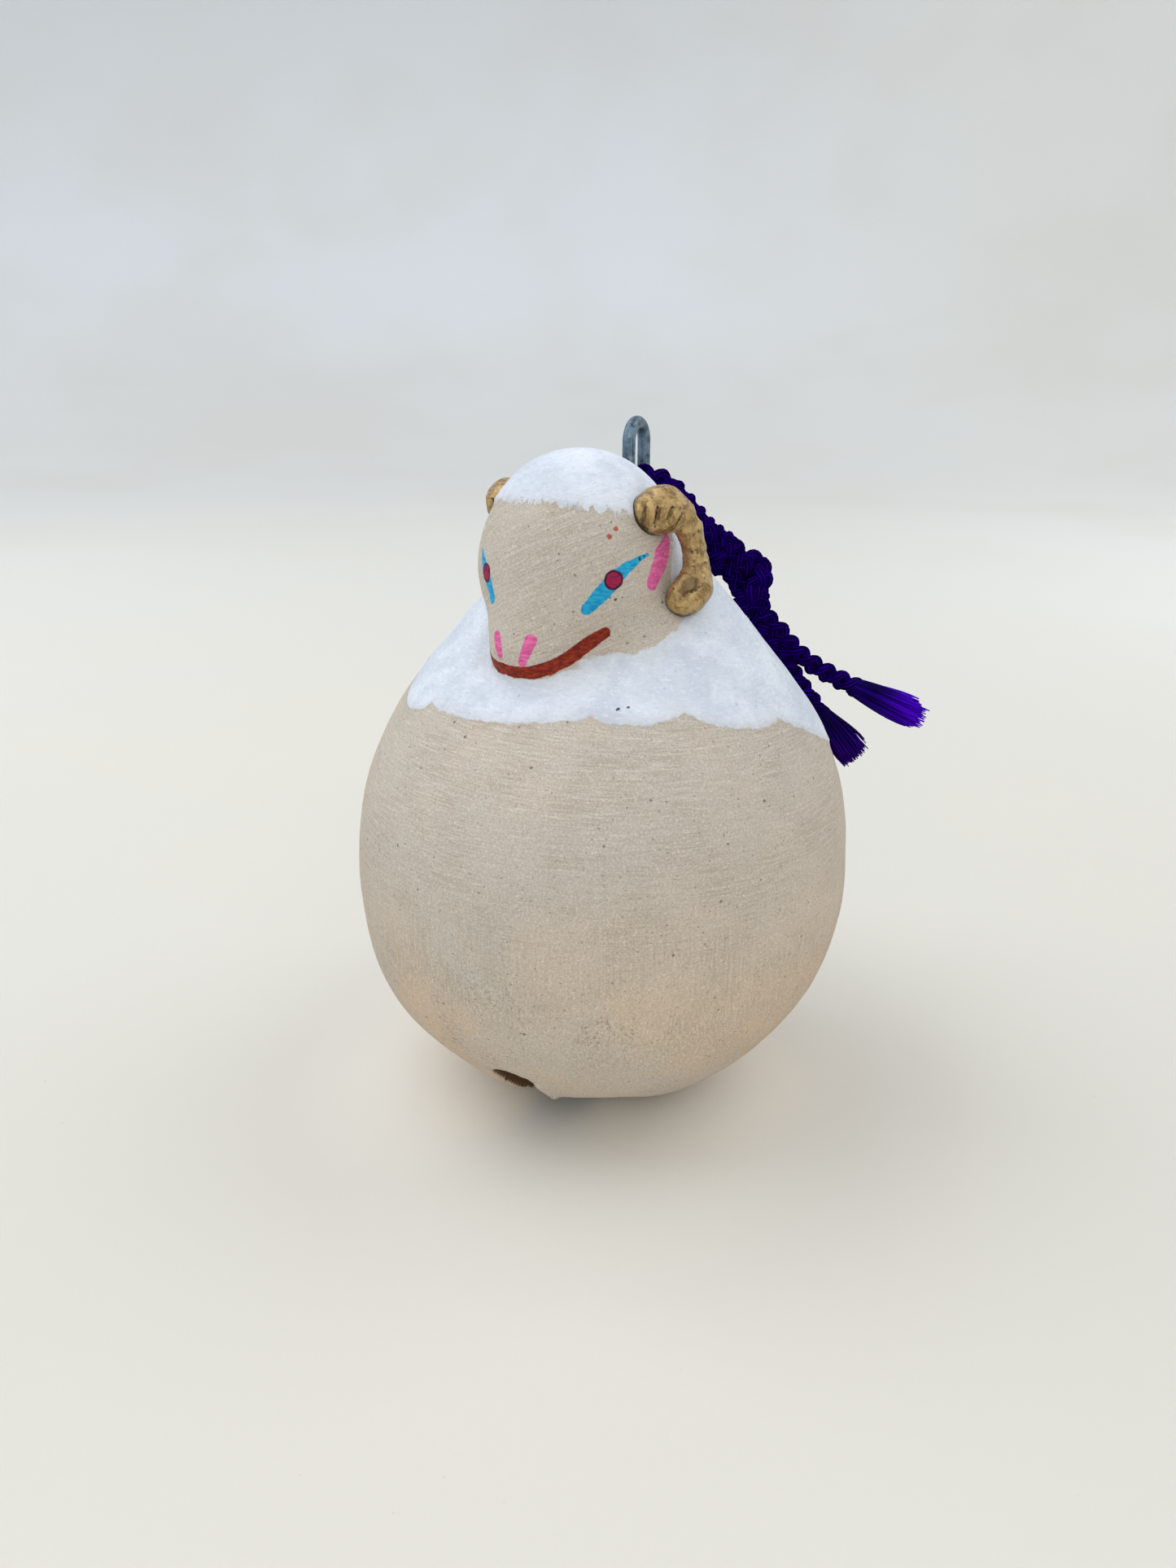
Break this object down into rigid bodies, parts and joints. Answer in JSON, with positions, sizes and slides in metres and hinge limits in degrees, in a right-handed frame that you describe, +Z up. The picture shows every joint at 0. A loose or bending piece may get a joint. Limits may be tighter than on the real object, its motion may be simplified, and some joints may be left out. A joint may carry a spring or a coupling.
{
  "type": "clay bell",
  "caption": "Hollow pear-shaped clay bell modelled as a sitting sheep, with curled horns, a rattling pellet, a sound slot underneath and a knotted cord through a wire eye.",
  "frame": {"origin": "centre of the flat foot the bell stands on, on the vertical axis of the belly", "axes": "+Z up, the sheep faces -Y, +X is the sheep's left"},
  "size_m": [0.06, 0.0618, 0.0822],
  "materials": {
    "painted_clay": "matte",
    "gold_clay": "satin",
    "bare_clay": "matte",
    "galvanised_wire": "satin",
    "purple_cord": "satin"
  },
  "bodies": {
    "bell": {"body_shell_front": "painted_clay", "body_shell_back": "painted_clay", "horn_left": "gold_clay", "horn_right": "gold_clay", "wire_eye": "galvanised_wire"},
    "pellet": {"clay_pellet": "bare_clay"},
    "cord": {"cord_leg_left": "purple_cord", "cord_leg_right": "purple_cord", "cord_knot": "purple_cord", "cord_end_out": "purple_cord", "cord_end_down": "purple_cord", "cord_tuft_out": "purple_cord", "cord_tuft_down": "purple_cord"}
  },
  "joints": [
    {"name": "pellet_roll", "type": "hinge", "parent": "bell", "child": "pellet", "pos_m": [0, 0, 0.0302], "axis": [1, 0, 0], "range_deg": [-80, 80]},
    {"name": "cord_swing", "type": "hinge", "parent": "bell", "child": "cord", "pos_m": [0.0005, 0.0059, 0.0757], "axis": [0.9866, 0.1633, 0], "range_deg": [0, 130]}
  ]
}
